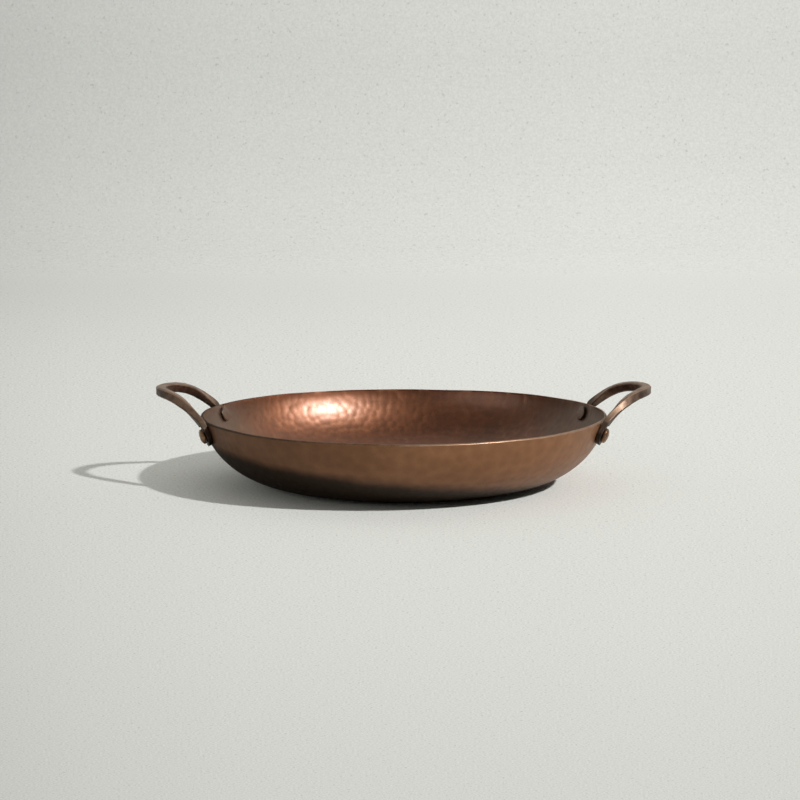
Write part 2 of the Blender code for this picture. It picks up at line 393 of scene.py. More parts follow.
def make_bowl(sizes):
    section = bowl_section()
    turns = even_turns(BOWL_SEGMENTS)
    radius, height, out_radius, out_height, side = section.T
    rings = spun(radius, height, turns)
    normals = spun(out_radius, out_height, turns)
    depth = np.zeros(rings.shape[:2])
    inside = side > 0
    outside = side < 0
    for rows, order, spacing, stretch, scatter, softness, seed in (
        (inside, -1, sizes.inside_spacing, sizes.inside_stretch, 0.36, 0.06, 11),
        (outside, 1, sizes.outside_spacing, 1.0, 0.36, 0.12, 23),
    ):
        half_section = section[rows][::order, :2]
        blows, reaches = blow_rings(half_section, spacing, stretch, scatter, seed)
        along = walked(half_section)[::order]
        flat = unrolled(radius[rows][:, None], turns[None, :], along[:, None], stretch)
        marks = hammer_marks(flat.reshape(-1, 3), blows, reaches, softness)
        depth[rows] = marks.reshape(-1, BOWL_SEGMENTS)
    below_rim = np.clip((PAN_HEIGHT - height) / 0.004, 0, 1)
    fade = mix(0.35, 1.0, smooth_step(below_rim))[:, None]
    full = np.where(inside, sizes.inside_depth, sizes.outside_depth)[:, None]
    full = np.where((side == 0)[:, None], 0, full)
    push = -depth * full * fade
    rings = sweep_up(rings + normals * push[..., None])
    share_up = np.clip(height / PAN_HEIGHT, 0, 1)[:, None]
    wave = ripple(turns, ((0.00016, 5, 0.4), (0.00012, 9, 2.1), (0.00007, 17, 4.0)))
    rings[..., 2] -= (0.00025 + wave)[None, :] * share_up ** 2
    ends = ((0, (0, 0, 0)), (len(rings) - 1, (0, 0, WALL_THICKNESS)))
    mesh = grid_mesh("bowl", rings, ends)
    values = np.concatenate((depth.ravel(), (0.5, 0.5)))
    set_value(mesh, "hammer_depth", values)
    rim_rows = np.where(side == 0)[0]
    first, last = rim_rows[0], rim_rows[-1]
    slots = np.zeros(len(mesh.polygons), np.int32)
    ring_of_face = np.arange((len(rings) - 1) * BOWL_SEGMENTS) // BOWL_SEGMENTS
    wall_slots = np.where(ring_of_face < first, 1, np.where(ring_of_face < last, 2, 0))
    slots[:len(wall_slots)] = wall_slots
    slots[len(wall_slots):len(wall_slots) + BOWL_SEGMENTS] = 1
    mesh.polygons.foreach_set("material_index", slots)
    return mesh


# Handle

def on_foot(above, out, across):
    """Points at a distance above the rivet and out from the wall, along a foot."""
    down = RIVET_DROP - min(above, 0)
    points = on_wall(down, out[:, None], FOOT_TURN + turn_for(across, down))
    return points + max(above, 0) * foot_up()


def foot_up():
    out = wall_normal(RIVET_DROP, FOOT_TURN)
    around = unit(np.cross((0, 0, 1), out))
    return unit(np.cross(out, around))


def bar_outline(width, thickness, chamfer_share):
    """Section of a forged bar: flat faces with crisp hammered chamfers between them."""
    chamfer = chamfer_share * min(width, thickness)
    half_width, half_thickness = width / 2, thickness / 2
    corners = [
        (half_width, -half_thickness + chamfer),
        (half_width, half_thickness - chamfer),
        (half_width - chamfer, half_thickness),
        (-half_width + chamfer, half_thickness),
        (-half_width, half_thickness - chamfer),
        (-half_width, -half_thickness + chamfer),
        (-half_width + chamfer, -half_thickness),
        (half_width - chamfer, -half_thickness),
    ]
    outline = []
    for index, count in enumerate(FACE_STEPS):
        start = np.array(corners[index])
        end = np.array(corners[(index + 1) % len(corners)])
        inset = min(EDGE_WEAR / np.linalg.norm(end - start), 0.2)
        for share in np.linspace(inset, 1 - inset, count):
            outline.append(mix(start, end, share))
    return np.array(outline)


def foot_ring(above, width, thickness):
    outline = bar_outline(width, thickness, 0.12)
    middle = SEAT_GAP + thickness / 2
    return on_foot(above, middle + outline[:, 1], outline[:, 0])


def leg_controls():
    """Control points from the top of a foot to the tip of the loop."""
    middle = np.array([SEAT_GAP + NECK_THICKNESS / 2])
    foot = on_foot(RIVET_DROP + LEG_START_RISE, middle, np.array([0.0]))[0]
    tip = np.array((RIM_RADIUS + HANDLE_REACH, 0, PAN_HEIGHT + HANDLE_RISE))
    along, across, up = SHOULDER_SHARES
    shoulder = np.array((
        mix(foot[0], tip[0], along),
        foot[1] * across,
        mix(foot[2], tip[2], up),
    ))
    over_shoulder = np.array((shoulder[0], shoulder[1], tip[2]))
    before_tip = tip + np.array((0, TIP_PULL, 0))
    return [foot, foot + LEG_PULL * foot_up(), shoulder, over_shoulder, before_tip, tip]


def leg_ring(share):
    """A section of a leg, with its faces turning from the wall to the loop."""
    controls = leg_controls()
    slopes = [b - a for a, b in zip(controls, controls[1:])]
    middle = bezier(controls, share)[0]
    forward = unit(bezier(slopes, share)[0])
    side_view = bezier(slopes, min(share, SHORT_OF_TIP_SHARE))[0]
    loop_out = unit(np.array((side_view[2], 0, -side_view[0])))
    wall_out = wall_normal(RIVET_DROP, FOOT_TURN)
    turned = smooth_step(share / FULL_BAR_SHARE)
    across = unit(np.cross(forward, mix(wall_out, loop_out, turned)))
    out = np.cross(across, forward)
    width = mix(NECK_WIDTH, BAR_WIDTH, turned)
    thickness = mix(NECK_THICKNESS, BAR_THICKNESS, turned)
    outline = bar_outline(width, thickness, mix(0.12, 0.16, turned))
    return middle + outline[:, :1] * across + outline[:, 1:] * out


def half_handle_rings():
    """Sections from the end of one foot to the tip of the loop."""
    rings = []
    for angle in np.radians((84, 78, 71, 64, 56, 48, 40, 32, 24, 16, 8, 0)):
        above = -PALM_WIDTH / 2 * math.sin(angle)
        rings.append(foot_ring(above, PALM_WIDTH * math.cos(angle), PALM_THICKNESS))
    foot_length = RIVET_DROP + LEG_START_RISE
    head_clear = OUTER_HEAD_RADIUS + SEAT_GAP
    steps = round(foot_length / HANDLE_STEP)
    for step in range(1, steps):
        above = foot_length * step / steps
        narrowed = smooth_step(above / foot_length)
        thickened = smooth_step((above - head_clear) / (foot_length - head_clear))
        width = mix(PALM_WIDTH, NECK_WIDTH, narrowed)
        thickness = mix(PALM_THICKNESS, NECK_THICKNESS, thickened)
        rings.append(foot_ring(above, width, thickness))
    curve = bezier(leg_controls(), np.linspace(0, 1, 400))
    length = walked(curve)
    count = round(length[-1] / HANDLE_STEP)
    shares = np.interp(np.linspace(0, length[-1], count), length, np.linspace(0, 1, 400))
    rings += [leg_ring(float(share)) for share in shares]
    return np.array(rings)


def make_handle(sizes, side_turn, seed):
    half = half_handle_rings()
    mirrored = half[:-1][::-1] * np.array((1, -1, 1))
    rings = np.concatenate((half, mirrored))
    ends = ((0, rings[0].mean(axis=0)), (len(rings) - 1, rings[-1].mean(axis=0)))
    mesh = grid_mesh("loop_handle", rings, ends)
    draw = np.random.default_rng(seed)
    along = walked(rings.mean(axis=1))
    blows, reaches = [], []
    face_starts = np.cumsum((0, *FACE_STEPS[:-1]))
    for start, count in zip(face_starts, FACE_STEPS):
        place = draw.uniform(0, sizes.facet_length)
        while place < along[-1]:
            ring = int(np.searchsorted(along, place).clip(0, len(rings) - 1))
            blows.append(rings[ring, int(start + draw.uniform(0.2, 0.8) * count)])
            reaches.append(sizes.facet_length * draw.uniform(0.55, 0.85))
            place += sizes.facet_length * draw.uniform(0.7, 1.25)
    points = mesh_points(mesh)
    depth = hammer_marks(points, np.array(blows), reaches, 0.04)
    points -= mesh_normals(mesh) * (depth * sizes.facet_depth)[:, None]
    cos, sin = math.cos(side_turn), math.sin(side_turn)
    points = points @ np.array(((cos, sin, 0), (-sin, cos, 0), (0, 0, 1)))
    set_points(mesh, points)
    mesh.set_sharp_from_angle(angle=math.radians(17))
    set_value(mesh, "hammer_depth", depth)
    # Painted shade on the feet, where they meet the wall
    heights = rings.mean(axis=1)[:, 2]
    crease_shade = 1 - smooth_step((heights - FOOT_SHADE_TOP) / FOOT_SHADE_FADE)
    set_value(mesh, "foot", np.concatenate((np.repeat(crease_shade, rings.shape[1]), (1.0, 1.0))))
    return mesh


# Rivet

def inner_wall_rise(reach):
    """How far the inside of the wall curls up round a flat disc at a rivet."""
    middle = on_wall(RIVET_DROP, -WALL_THICKNESS, FOOT_TURN)
    inward = -wall_normal(RIVET_DROP, FOOT_TURN)
    angles = np.linspace(0, math.tau, 25)
    downs = RIVET_DROP + reach * np.cos(angles)
    turns = FOOT_TURN + turn_for(reach * np.sin(angles), RIVET_DROP)
    ring = on_wall(downs, -WALL_THICKNESS, turns)
    return float(((ring - middle) @ inward).max())


def rivet_section():
    """Half section of a set rivet about its own axis; zero is the wall's outer face."""
    inner_seat = -(WALL_THICKNESS + SEAT_GAP)
    inner_flat = inner_seat - inner_wall_rise(INNER_HEAD_RADIUS)
    crown = inner_flat - INNER_HEAD_HEIGHT + INNER_CROWN_DROP
    edge = INNER_HEAD_RADIUS - INNER_HEAD_ROUND
    points = []
    for share in np.linspace(0.12, 1, 9):
        points.append((edge * share, crown + INNER_CROWN_FALL * share ** 2))
    for angle in np.radians((20, 40, 60, 78, 90)):
        fall = INNER_CROWN_FALL + INNER_HEAD_ROUND * (1 - math.cos(angle))
        points.append((edge + INNER_HEAD_ROUND * math.sin(angle), crown + fall))
    points.append((INNER_HEAD_RADIUS, inner_flat))
    points += [(SHANK_RADIUS, inner_seat), (SHANK_RADIUS, 0.0015), (SHANK_RADIUS, HEAD_SEAT)]
    points += [(OUTER_HEAD_RADIUS - 0.0002, HEAD_SEAT), (OUTER_HEAD_RADIUS, HEAD_SEAT + 0.0002)]
    for angle in np.radians(np.arange(0, 86, 7)):
        rise = HEAD_SEAT + OUTER_HEAD_SIDE + OUTER_HEAD_DOME * math.sin(angle)
        points.append((OUTER_HEAD_RADIUS * math.cos(angle), rise))
    return np.array(points), (0, 0, crown), (0, 0, HEAD_SEAT + OUTER_HEAD_HEIGHT)


def make_rivet(sizes, side_turn, front, seed):
    section, inner_end, outer_end = rivet_section()
    rings = spun(section[:, 0], section[:, 1], even_turns(RIVET_SEGMENTS))
    mesh = grid_mesh("rivet", rings, ((0, inner_end), (len(rings) - 1, outer_end)))
    draw = np.random.default_rng(seed)
    blows = []
    for radius_share, count in ((0.0, 1), (0.42, 5), (0.78, 9), (0.99, 12)):
        start = draw.uniform(0, math.tau)
        for index in range(count):
            turn = start + math.tau * (index + draw.uniform(-0.2, 0.2)) / count
            radius = OUTER_HEAD_RADIUS * (radius_share + draw.uniform(-0.06, 0.06))
            radius = min(abs(radius), OUTER_HEAD_RADIUS * 0.995)
            across = (radius * math.cos(turn), radius * math.sin(turn))
            fall = math.sqrt(1 - (radius / OUTER_HEAD_RADIUS) ** 2)
            blows.append((*across, HEAD_SEAT + OUTER_HEAD_SIDE + OUTER_HEAD_DOME * fall))
            if radius_share < 0.9:
                fall = INNER_CROWN_FALL * (radius / INNER_HEAD_RADIUS) ** 2
                blows.append((*across, inner_end[2] + fall))
    blows = np.array(blows)
    reaches = draw.uniform(0.0016, 0.0026, len(blows))
    points = mesh_points(mesh)
    depth = hammer_marks(points, blows, reaches, 0.08)
    points -= mesh_normals(mesh) * (depth * sizes.peen_depth)[:, None]
    turn = -FOOT_TURN if front else FOOT_TURN
    direction = Vector(wall_normal(RIVET_DROP, turn))
    facing = direction.to_track_quat("Z", "Y").to_matrix().to_4x4()
    place = Matrix.Translation(on_wall(RIVET_DROP, 0, turn)) @ facing
    whole = np.array(Matrix.Rotation(side_turn, 4, "Z") @ place)
    inner_faces = [polygon.center.z < 0 for polygon in mesh.polygons]
    mesh.polygons.foreach_set("material_index", np.array(inner_faces, np.int32))
    set_points(mesh, points @ whole[:3, :3].T + whole[:3, 3])
    set_value(mesh, "hammer_depth", depth)
    # Painted shade round the inner head's edge, where it meets the wall
    crease_shade = np.zeros(len(section))
    crease_shade[(section[:, 1] < 0) & (section[:, 0] > INNER_HEAD_RADIUS - 0.6 * INNER_HEAD_ROUND)] = 1
    set_value(mesh, "foot", np.concatenate((np.repeat(crease_shade, RIVET_SEGMENTS), (0, 0))))
    return mesh


# Materials: effects that several finishes share are node groups.

def new_node(tree, kind, inputs=None, **settings):
    node = tree.nodes.new(kind)
    for key, value in settings.items():
        setattr(node, key, value)
    for key, value in (inputs or {}).items():
        if isinstance(value, bpy.types.NodeSocket):
            tree.links.new(value, node.inputs[key])
        else:
            node.inputs[key].default_value = value
    return node


def new_group(name, inputs, outputs):
    """An empty node group with the named sockets, and its two end nodes.

    Sockets hold numbers, apart from inputs that start as a colour and outputs named Colour."""
    group = bpy.data.node_groups.new(name, "ShaderNodeTree")
    for label, value in inputs.items():
        kind = "NodeSocketColor" if isinstance(value, tuple) else "NodeSocketFloat"
        socket = group.interface.new_socket(label, in_out="INPUT", socket_type=kind)
        socket.default_value = value
    for label in outputs:
        kind = "NodeSocketColor" if label == "Colour" else "NodeSocketFloat"
        group.interface.new_socket(label, in_out="OUTPUT", socket_type=kind)
    return group, group.nodes.new("NodeGroupInput"), group.nodes.new("NodeGroupOutput")


def noise(tree, place, scale, detail=4.0, roughness=0.55, distortion=0.0):
    inputs = {"Vector": place, "Scale": scale, "Detail": detail, "Roughness": roughness}
    inputs["Distortion"] = distortion
    return new_node(tree, "ShaderNodeTexNoise", inputs).outputs["Fac"]


def math_node(tree, operation, first, second):
    return new_node(tree, "ShaderNodeMath", {0: first, 1: second}, operation=operation).outputs[0]


def times(tree, first, second):
    return math_node(tree, "MULTIPLY", first, second)


def plus(tree, first, second):
    return math_node(tree, "ADD", first, second)


def coordinates(tree, kind):
    return new_node(tree, "ShaderNodeTexCoord").outputs[kind]


def axes(tree, vector):
    return new_node(tree, "ShaderNodeSeparateXYZ", {0: vector}).outputs


def map_range(tree, value, low, high, to_low=0.0, to_high=1.0, ease="LINEAR"):
    inputs = {"Value": value, "From Min": low, "From Max": high}
    inputs.update({"To Min": to_low, "To Max": to_high})
    return new_node(tree, "ShaderNodeMapRange", inputs, interpolation_type=ease).outputs["Result"]


def soft_range(tree, value, low, high):
    """0 at low and 1 at high, with an eased change between them."""
    return map_range(tree, value, low, high, ease="SMOOTHSTEP")


def mix_colour(tree, share, first, second, blend="MIX"):
    inputs = {0: share, 6: first, 7: second}
    return new_node(tree, "ShaderNodeMix", inputs, data_type="RGBA", blend_type=blend).outputs[2]


def seasoning_group():
    """Baked-on seasoning: slow patches, small mottling and fine specks between two colours."""
    name = "Seasoning Patches"
    if name in bpy.data.node_groups:
        return bpy.data.node_groups[name]
    inputs = {
        "Dark Colour": (0.1, 0.05, 0.03, 1),
        "Light Colour": (0.3, 0.16, 0.1, 1),
        "Patch Scale": 14.0,
        "Mottle Scale": 110.0,
        "Balance": 0.5,
        "Contrast": 1.0,
    }
    group, ins, outs = new_group(name, inputs, ("Colour",))
    place = coordinates(group, "Object")
    patches = noise(group, place, ins.outputs["Patch Scale"], 3.0, 0.5, 0.6)
    mottle = noise(group, place, ins.outputs["Mottle Scale"], 4.0, 0.6, 0.3)
    fine_scale = times(group, ins.outputs["Mottle Scale"], 6.0)
    specks = noise(group, place, fine_scale, 2.0, 0.5)
    total = times(group, patches, 0.5)
    total = plus(group, total, times(group, mottle, 0.32))
    total = plus(group, total, times(group, specks, 0.18))
    centred = math_node(group, "SUBTRACT", total, 0.5)
    spread = times(group, centred, times(group, ins.outputs["Contrast"], 3.2))
    mask = new_node(
        group, "ShaderNodeMath",
        {0: spread, 1: ins.outputs["Balance"]}, operation="ADD", use_clamp=True,
    ).outputs[0]
    colour = mix_colour(group, mask, ins.outputs["Dark Colour"], ins.outputs["Light Colour"])
    group.links.new(colour, outs.inputs["Colour"])
    return group


def hammer_tone_group():
    """Seasoning lies thicker in the marks and is rubbed thinner on the ridges."""
    name = "Hammer Tone"
    if name in bpy.data.node_groups:
        return bpy.data.node_groups[name]
    inputs = {
        "Colour": (0.3, 0.16, 0.1, 1),
        "Ridge Colour": (0.5, 0.3, 0.2, 1),
        "Ridge Amount": 0.4,
        "Pool Amount": 0.2,
    }
    group, ins, outs = new_group(name, inputs, ("Colour",))
    depth = new_node(group, "ShaderNodeAttribute", attribute_name="hammer_depth").outputs["Fac"]
    place = coordinates(group, "Object")
    broken = map_range(group, noise(group, place, 260.0, 3.0), 0.38, 0.62)
    ridge = map_range(group, depth, 0.42, 0.05)
    ridge = times(group, ridge, plus(group, times(group, broken, 0.7), 0.3))
    share = times(group, ridge, ins.outputs["Ridge Amount"])
    rubbed = mix_colour(group, share, ins.outputs["Colour"], ins.outputs["Ridge Colour"])
    pool = times(group, map_range(group, depth, 0.5, 1.0), ins.outputs["Pool Amount"])
    pooled = mix_colour(group, pool, rubbed, (0.45, 0.42, 0.40, 1), "MULTIPLY")
    group.links.new(pooled, outs.inputs["Colour"])
    return group


def grain_group():
    """Fine tooth of scaled and seasoned steel, as a height and as a roughness change."""
    name = "Steel Grain"
    if name in bpy.data.node_groups:
        return bpy.data.node_groups[name]
    inputs = {
        "Scale": 520.0,
        "Roughness": 0.35,
        "Roughness Spread": 0.16,
    }
    group, ins, outs = new_group(name, inputs, ("Height", "Roughness"))
    place = coordinates(group, "Object")
    coarse_scale = times(group, ins.outputs["Scale"], 0.32)
    coarse = noise(group, place, coarse_scale, 3.0, 0.6)
    fine = noise(group, place, ins.outputs["Scale"], 5.0, 0.65)
    height = plus(group, times(group, coarse, 0.7), times(group, fine, 0.3))
    centred = math_node(group, "SUBTRACT", coarse, 0.5)
    shift = times(group, centred, ins.outputs["Roughness Spread"])
    rough = plus(group, ins.outputs["Roughness"], times(group, shift, 2.0))
    group.links.new(height, outs.inputs["Height"])
    group.links.new(rough, outs.inputs["Roughness"])
    return group


# Upward part of a normal from which, and to which, upward faces are painted lighter: a painted highlight
TOP_HIGHLIGHT_REACH = (-0.1, 0.9)

# The painted shade low on the outside, which stands for the floor's shadow seen in the wall, ends at this
# height, lower towards the right, over this blend
SHADE_TOP = 0.0284
SHADE_BLEND = 0.013
SHADE_SLANT = 0.115


def painted_shade_group():
    """Painted shade, darker low on the outside and to the left away from the key, and where the feet and
    inner rivet heads meet the wall; and a painted reflection greying near the handles.
    """
    name = "Burnt Seasoning"
    if name in bpy.data.node_groups:
        return bpy.data.node_groups[name]
    inputs = {
        "Colour": (0.3, 0.16, 0.1, 1),
        "Painted Shade Colour": (0.03, 0.02, 0.012, 1),
        "Under Amount": 0.0,
        "Foot Amount": 0.0,
        "Side Amount": 0.0,
        "Ends Amount": 0.0,
        "Ends Colour": (0.2, 0.16, 0.12, 1),
    }
    group, ins, outs = new_group(name, inputs, ("Colour", "Painted Shade"))
    place = coordinates(group, "Object")
    x, _, z = axes(group, place)
    wander = math_node(group, "SUBTRACT", noise(group, place, 30.0, 3.0), 0.5)
    slant = times(group, x, SHADE_SLANT)
    height = plus(group, z, slant)
    height = plus(group, height, times(group, wander, 0.006))
    # Painted shade: the floor's shadow seen low in the outer wall, slanting lower to the right
    under = soft_range(group, height, SHADE_TOP, SHADE_TOP - SHADE_BLEND)
    leftward = soft_range(group, x, 0.02, -0.15)
    side = math_node(group, "ABSOLUTE", x, 0.0)
    side = plus(group, side, times(group, wander, 0.05))
    # Painted reflection: the bowl greys towards the handles
    ends = times(group, soft_range(group, side, 0.112, 0.158), ins.outputs["Ends Amount"])
    foot = new_node(group, "ShaderNodeAttribute", attribute_name="foot").outputs["Fac"]
    painted_shade = math_node(
        group, "MAXIMUM",
        times(group, under, ins.outputs["Under Amount"]),
        times(group, foot, ins.outputs["Foot Amount"]),
    )
    # Painted shade: darker to the left, the side away from the key
    painted_shade = math_node(group, "MAXIMUM", painted_shade, times(group, leftward, ins.outputs["Side Amount"]))
    greyed = mix_colour(group, ends, ins.outputs["Colour"], ins.outputs["Ends Colour"])
    colour = mix_colour(group, painted_shade, greyed, ins.outputs["Painted Shade Colour"])
    group.links.new(colour, outs.inputs["Colour"])
    group.links.new(painted_shade, outs.inputs["Painted Shade"])
    return group


def place_group(tree, group, inputs):
    return new_node(tree, "ShaderNodeGroup", inputs, node_tree=group)


def steel_material(name, colours):
    """Seasoned steel of one of the finishes."""
    if name in bpy.data.materials:
        return bpy.data.materials[name]
    colour_names, changes = FINISHES[name]
    dark, light, ridge = ((*getattr(colours, key), 1) for key in colour_names)
    tuning = {**STEEL_TUNING, **changes}
    material = bpy.data.materials.new(name)
    material.use_nodes = True
    tree = material.node_tree
    shader = tree.nodes["Principled BSDF"]
    # Painted highlight: faces that turn up get the lighter colour
    upward = soft_range(tree, axes(tree, coordinates(tree, "Normal"))["Z"], *TOP_HIGHLIGHT_REACH)
    balance = plus(tree, tuning["balance"], times(tree, upward, tuning["top_highlight"]))
    seasoning = place_group(tree, seasoning_group(), {
        "Dark Colour": dark,
        "Light Colour": light,
        "Patch Scale": tuning["patch_scale"],
        "Mottle Scale": tuning["mottle_scale"],
        "Balance": balance,
        "Contrast": tuning["contrast"],
    })
    tone = place_group(tree, hammer_tone_group(), {
        "Colour": seasoning.outputs["Colour"],
        "Ridge Colour": ridge,
        "Ridge Amount": tuning["ridge_amount"],
        "Pool Amount": tuning["pool_amount"],
    })
    grain = place_group(tree, grain_group(), {
        "Scale": tuning["grain_scale"],
        "Roughness": tuning["roughness"],
        "Roughness Spread": tuning["roughness_spread"],
    })
    heights = {"Height": grain.outputs["Height"], "Distance": tuning["grain_height"]}
    bump = new_node(tree, "ShaderNodeBump", {"Strength": 1.0, **heights})
    # Painted shade and painted reflection, laid over the seasoning colour
    painted_shade = place_group(tree, painted_shade_group(), {
        "Colour": tone.outputs["Colour"],
        "Painted Shade Colour": (*colours.painted_shade, 1),
        "Under Amount": tuning["painted_shade_under"],
        "Foot Amount": tuning["painted_shade_foot"],
        "Side Amount": tuning["painted_shade_side"],
        "Ends Amount": tuning["grey_ends"],
        "Ends Colour": (*colours.grey_ends, 1),
    })
    tree.links.new(painted_shade.outputs["Colour"], shader.inputs["Base Color"])
    rougher_in_shade = times(tree, painted_shade.outputs["Painted Shade"], tuning["painted_shade_roughness"])
    rough = plus(tree, grain.outputs["Roughness"], rougher_in_shade)
    tree.links.new(rough, shader.inputs["Roughness"])
    tree.links.new(bump.outputs["Normal"], shader.inputs["Normal"])
    shader.inputs["Metallic"].default_value = tuning["metallic"]
    shader.inputs["Coat Weight"].default_value = tuning["coat"]
    shader.inputs["Coat Roughness"].default_value = tuning["coat_roughness"]
    shader.inputs["Coat IOR"].default_value = tuning["coat_ior"]
    shader.inputs["Specular IOR Level"].default_value = tuning["specular"]
    material.diffuse_color = light
    return material


# What every steel finish starts from
STEEL_TUNING = dict(
    patch_scale=12.0, mottle_scale=110.0, balance=0.5, top_highlight=0.0, contrast=1.0,
    ridge_amount=0.35, pool_amount=0.25, grain_scale=700.0, grain_height=0.00006,
    roughness=0.36, roughness_spread=0.16, metallic=1.0, specular=0.3, coat=0.25,
    coat_roughness=0.3, coat_ior=1.5, painted_shade_under=0.0, painted_shade_foot=0.0, painted_shade_side=0.0,
    painted_shade_roughness=0.0, grey_ends=0.0,
)

# Finishes: their dark, light and ridge colours, and what differs from that start
FINISHES = {
    "inside_seasoning": (("inside_dark", "inside_light", "inside_ridge"), dict(
        roughness=0.50, roughness_spread=0.14, mottle_scale=95.0, grain_height=0.00007,
        coat=1.0, coat_roughness=0.36, coat_ior=1.72, grey_ends=0.6, pool_amount=0.15,
        painted_shade_foot=0.9,
    )),
    "outside_seasoning": (("outside_dark", "outside_light", "outside_ridge"), dict(
        metallic=0.45, roughness=0.42, coat=0.0, ridge_amount=0.15, contrast=0.6,
        mottle_scale=170.0, grain_height=0.00009, painted_shade_under=0.96, painted_shade_side=0.42,
        painted_shade_roughness=0.22,
    )),
    # The rim is darkened to the left as painted shade, away from the key
    "rim_edge": (("outside_dark", "bare_edge", "bare_edge"), dict(
        metallic=0.8, roughness=0.44, mottle_scale=160.0, balance=0.55, ridge_amount=0.0,
        pool_amount=0.0, painted_shade_side=0.85, painted_shade_roughness=0.2, coat=0.0,
    )),
    "forged_handle": (("handle_dark", "handle_light", "handle_ridge"), dict(
        metallic=0.8, roughness=0.5, patch_scale=40.0, mottle_scale=180.0, ridge_amount=0.4,
        painted_shade_foot=0.85, coat=0.3, coat_roughness=0.4, top_highlight=0.8, balance=0.12,
    )),
    "peened_rivet": (("handle_dark", "rivet_light", "handle_ridge"), dict(
        metallic=0.85, roughness=0.36, patch_scale=90.0, mottle_scale=300.0, ridge_amount=0.5,
        balance=0.6,
    )),
}


# Painted light and shade in the paper's tone, darker up the sweep, to the left and to the front:
# against height up the sweep, how far it is to the side and how far back, each as share and level over its
# reach
SWEEP_REACH = (0.0, 0.8)
SIDE_REACH = (-0.21, 0.21)
DEPTH_REACH = (-0.8, 0.9)
SWEEP_TONES = ((0.0, 1.0), (1.0, 0.865), (0.05, 0.955), (0.33, 0.88), (0.66, 0.84))
SIDE_TONES = ((0.0, 0.845), (1.0, 0.99), (0.1, 0.895), (0.3, 0.954), (0.5, 0.979), (0.8, 1.0))
DEPTH_TONES = ((0.0, 0.86), (1.0, 1.0), (0.18, 0.93), (0.5, 0.985))

# The backdrop is painted dimmer, most at the left: how far back, and how much by side
FAR_REACH = (0.1, 2.4)
FAR_DIMMING = (-0.21, 0.1, 0.145, 0.045)

# The paper's speckle fades from near to far
SPECKLE_STRENGTH = (0.8, 2.6, 1.6, 0.76)


def tone_ramp(tree, value, tones):
    ramp = new_node(tree, "ShaderNodeValToRGB", {"Fac": value})
    for index, (share, level) in enumerate(tones):
        stops = ramp.color_ramp.elements
        stop = stops[index] if index < 2 else stops.new(share)
        stop.position = share
        stop.color = (level, level, level, 1)
    return ramp.outputs["Color"]


def floor_material(settings):
    """Plain pale paper with a faint fleck, painted a little brighter towards the key lamp and darker up
    the sweep.
    """
    material = bpy.data.materials.new("pale_paper")
    material.use_nodes = True
    tree = material.node_tree
    shader = tree.nodes["Principled BSDF"]
    place = coordinates(tree, "Object")
    x, y, z = axes(tree, place)
    away = math_node(tree, "MAXIMUM", plus(tree, y, FLOOR_FRONT), 0.2)
    aside = math_node(tree, "DIVIDE", x, away)
    side_tone = tone_ramp(tree, map_range(tree, aside, *SIDE_REACH), SIDE_TONES)
    sweep_tone = tone_ramp(tree, map_range(tree, z, *SWEEP_REACH), SWEEP_TONES)
    depth_tone = tone_ramp(tree, map_range(tree, y, *DEPTH_REACH), DEPTH_TONES)
    far_dim = times(tree, soft_range(tree, y, *FAR_REACH), map_range(tree, aside, *FAR_DIMMING))
    far_tone = math_node(tree, "SUBTRACT", 1.0, far_dim)
    paper = side_tone
    for tone in ((*settings.floor_colour, 1), sweep_tone, depth_tone, far_tone):
        paper = mix_colour(tree, 1.0, paper, tone, "MULTIPLY")
    spread = math_node(tree, "DIVIDE", 1.3, away)
    scaled = new_node(tree, "ShaderNodeVectorMath", {0: place, "Scale": spread}, operation="SCALE")
    tooth = scaled.outputs["Vector"]
    fibres = map_range(tree, noise(tree, tooth, 620.0, 2.0, 0.7), 0.25, 0.75, 0.86, 1.09)
    flecks = soft_range(tree, noise(tree, tooth, 430.0, 1.0, 0.5), 0.66, 0.76)
    darker = map_range(tree, flecks, 0.0, 1.0, 1.0, 0.78)
    speckle = math_node(tree, "SUBTRACT", times(tree, fibres, darker), 1.0)
    strength = map_range(tree, y, *SPECKLE_STRENGTH)
    speckle = plus(tree, times(tree, speckle, strength), 1.0)
    flecked = mix_colour(tree, 1.0, paper, speckle, "MULTIPLY")
    seen = new_node(tree, "ShaderNodeLightPath").outputs["Is Camera Ray"]
    kept = plus(tree, FLOOR_BOUNCE, times(tree, seen, 1 - FLOOR_BOUNCE))
    shown = mix_colour(tree, 1.0, flecked, kept, "MULTIPLY")
    tree.links.new(shown, shader.inputs["Base Color"])
    shader.inputs["Roughness"].default_value = 0.9
    shader.inputs["Specular IOR Level"].default_value = 0.2
    ends = {0: place, 1: FLOOR_LIFT_FROM}
    reach = new_node(tree, "ShaderNodeVectorMath", ends, operation="DISTANCE")
    clear = soft_range(tree, reach.outputs["Value"], *FLOOR_LIFT_REACH)
    lift = times(tree, times(tree, clear, seen), settings.shadow_lift)
    lit = mix_colour(tree, 1.0, flecked, (*FLOOR_LIT, 1), "MULTIPLY")
    glow = new_node(tree, "ShaderNodeEmission", {"Color": lit})
    parts = {0: lift, 1: shader.outputs["BSDF"], 2: glow.outputs["Emission"]}
    mixed = new_node(tree, "ShaderNodeMixShader", parts)
    tree.links.new(mixed.outputs["Shader"], tree.nodes["Material Output"].inputs["Surface"])
    return material


# Stage

